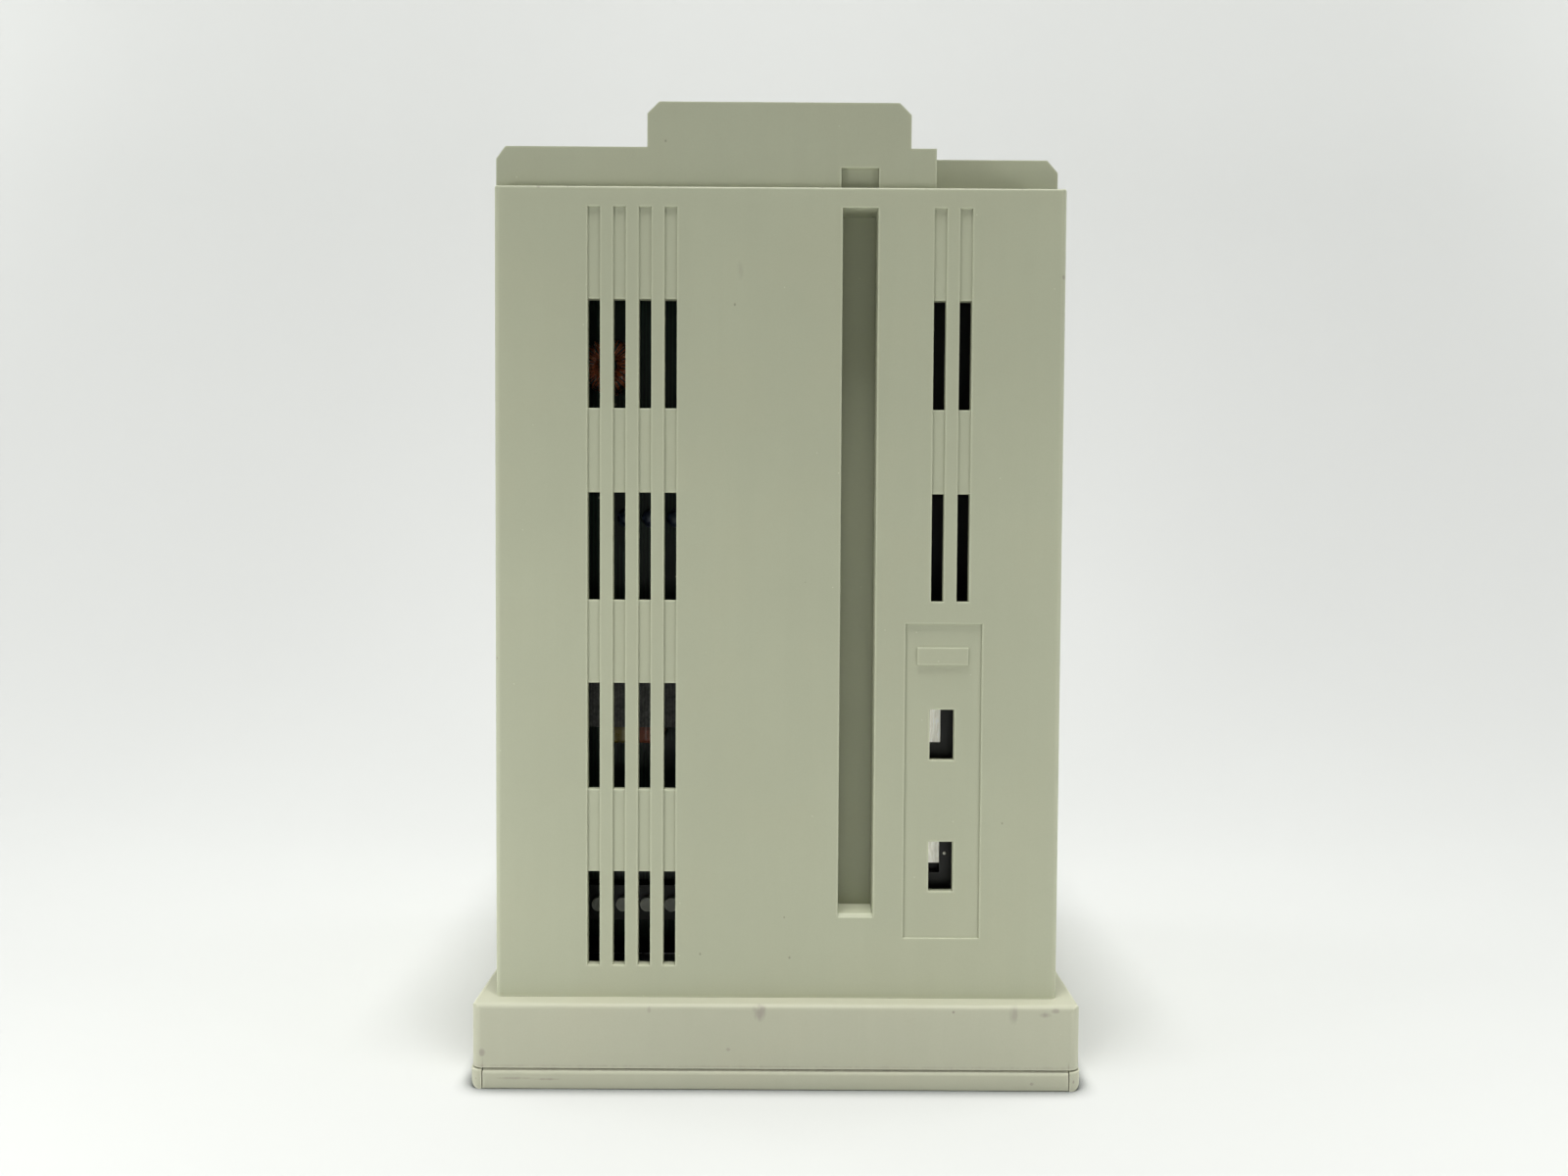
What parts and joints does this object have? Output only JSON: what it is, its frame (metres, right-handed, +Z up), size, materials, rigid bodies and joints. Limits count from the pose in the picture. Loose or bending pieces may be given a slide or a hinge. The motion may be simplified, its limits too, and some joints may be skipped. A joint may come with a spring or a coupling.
{
  "type": "compact computer tower",
  "caption": "Compact computer unit standing on a square bezel: slotted case, hinged front door with keys, boards inside, stepped rear cover with ports.",
  "frame": {"origin": "centre of the footprint on the surface that the unit stands on", "axes": "+Z up, from the door and bezel towards the rear cover; the slotted face with the two windows faces -Y; +X is to the right when looking at that face"},
  "size_m": [0.1446, 0.1446, 0.2331],
  "materials": {
    "case_plastic": "matte, very fine mould texture",
    "bezel_plastic": "matte, very fine mould texture",
    "panel_plastic": "fine texture",
    "key_plastic": "satin",
    "black_plastic": "satin",
    "white_plastic": "satin",
    "plug_plastic": "satin",
    "film_yellow": "taped film",
    "board_green": "solder mask over glass laminate",
    "window_clear": "clear acrylic",
    "display_dark": "dark display glass",
    "light_pipe": "translucent",
    "steel": "zinc plated sheet",
    "coated_steel": "dark powder coat",
    "aluminium": "extruded",
    "copper": "enamelled copper wire",
    "brass": "turned",
    "ferrite": "sintered"
  },
  "bodies": {
    "unit": {"case_shell": "case_plastic", "front_frame": "bezel_plastic", "door_frame": "bezel_plastic", "hinge_pins": "steel", "door_magnet": "ferrite", "front_panel": "panel_plastic", "display_glass": "display_dark", "display_frame": "steel", "display_board": "board_green", "key_board": "board_green", "key_switches": "black_plastic", "status_lights": "light_pipe", "switch_housing": "black_plastic", "usb_port": "steel", "card_slot": "black_plastic", "chassis": "coated_steel", "power_board": "board_green", "choke_core": "ferrite", "choke_winding": "copper", "transformer_core": "ferrite", "transformer_winding": "film_yellow", "capacitors": "aluminium", "power_heat_sink": "aluminium", "mains_filter": "film_yellow", "output_connector": "black_plastic", "connector_plugs": "plug_plastic", "selector_board": "board_green", "selector_housings": "black_plastic", "spacers": "brass", "screws": "steel", "main_board": "board_green", "processor": "steel", "cpu_heat_sink": "aluminium", "board_sockets": "black_plastic", "memory_module": "board_green", "coin_cell": "steel", "storage_drive": "aluminium", "drive_bracket": "coated_steel", "expansion_card": "board_green", "slot_brackets": "steel", "ribbon_cable": "plug_plastic", "rear_cover": "case_plastic", "port_plate": "steel", "rear_ports": "steel", "power_inlet": "black_plastic", "inlet_pins": "brass", "earth_stud": "brass"},
    "door": {"door_leaf": "bezel_plastic", "door_window": "window_clear", "catch_plate": "steel"},
    "power_rocker": {"switch_rocker": "black_plastic"},
    "selector_a": {"selector_upper": "white_plastic"},
    "selector_b": {"selector_lower": "white_plastic"},
    "key_cap_1": {"key_1": "key_plastic"},
    "key_cap_2": {"key_2": "key_plastic"},
    "key_cap_3": {"key_3": "key_plastic"},
    "key_cap_4": {"key_4": "key_plastic"},
    "key_cap_5": {"key_5": "key_plastic"}
  },
  "joints": [
    {"name": "door_hinge", "type": "hinge", "parent": "unit", "child": "door", "pos_m": [0, -0.06985, 0.0024], "axis": [-1, 0, 0], "range_deg": [0, 90]},
    {"name": "rocker_pivot", "type": "hinge", "parent": "unit", "child": "power_rocker", "pos_m": [-0.05, -0.052, 0.012], "axis": [0, -1, 0], "range_deg": [0, 20]},
    {"name": "selector_a_slide", "type": "slide", "parent": "unit", "child": "selector_a", "axis": [0, 0, 1], "range_m": [0, 0.0026]},
    {"name": "selector_b_slide", "type": "slide", "parent": "unit", "child": "selector_b", "axis": [0, 0, -1], "range_m": [0, 0.0026]},
    {"name": "key_1_press", "type": "slide", "parent": "unit", "child": "key_cap_1", "axis": [0, 0, 1], "range_m": [0, 0.0012], "stiffness_N_per_m": 450, "springref_m": -0.001},
    {"name": "key_2_press", "type": "slide", "parent": "unit", "child": "key_cap_2", "axis": [0, 0, 1], "range_m": [0, 0.0012], "stiffness_N_per_m": 450, "springref_m": -0.001},
    {"name": "key_3_press", "type": "slide", "parent": "unit", "child": "key_cap_3", "axis": [0, 0, 1], "range_m": [0, 0.0012], "stiffness_N_per_m": 450, "springref_m": -0.001},
    {"name": "key_4_press", "type": "slide", "parent": "unit", "child": "key_cap_4", "axis": [0, 0, 1], "range_m": [0, 0.0012], "stiffness_N_per_m": 450, "springref_m": -0.001},
    {"name": "key_5_press", "type": "slide", "parent": "unit", "child": "key_cap_5", "axis": [0, 0, 1], "range_m": [0, 0.0012], "stiffness_N_per_m": 450, "springref_m": -0.001}
  ]
}
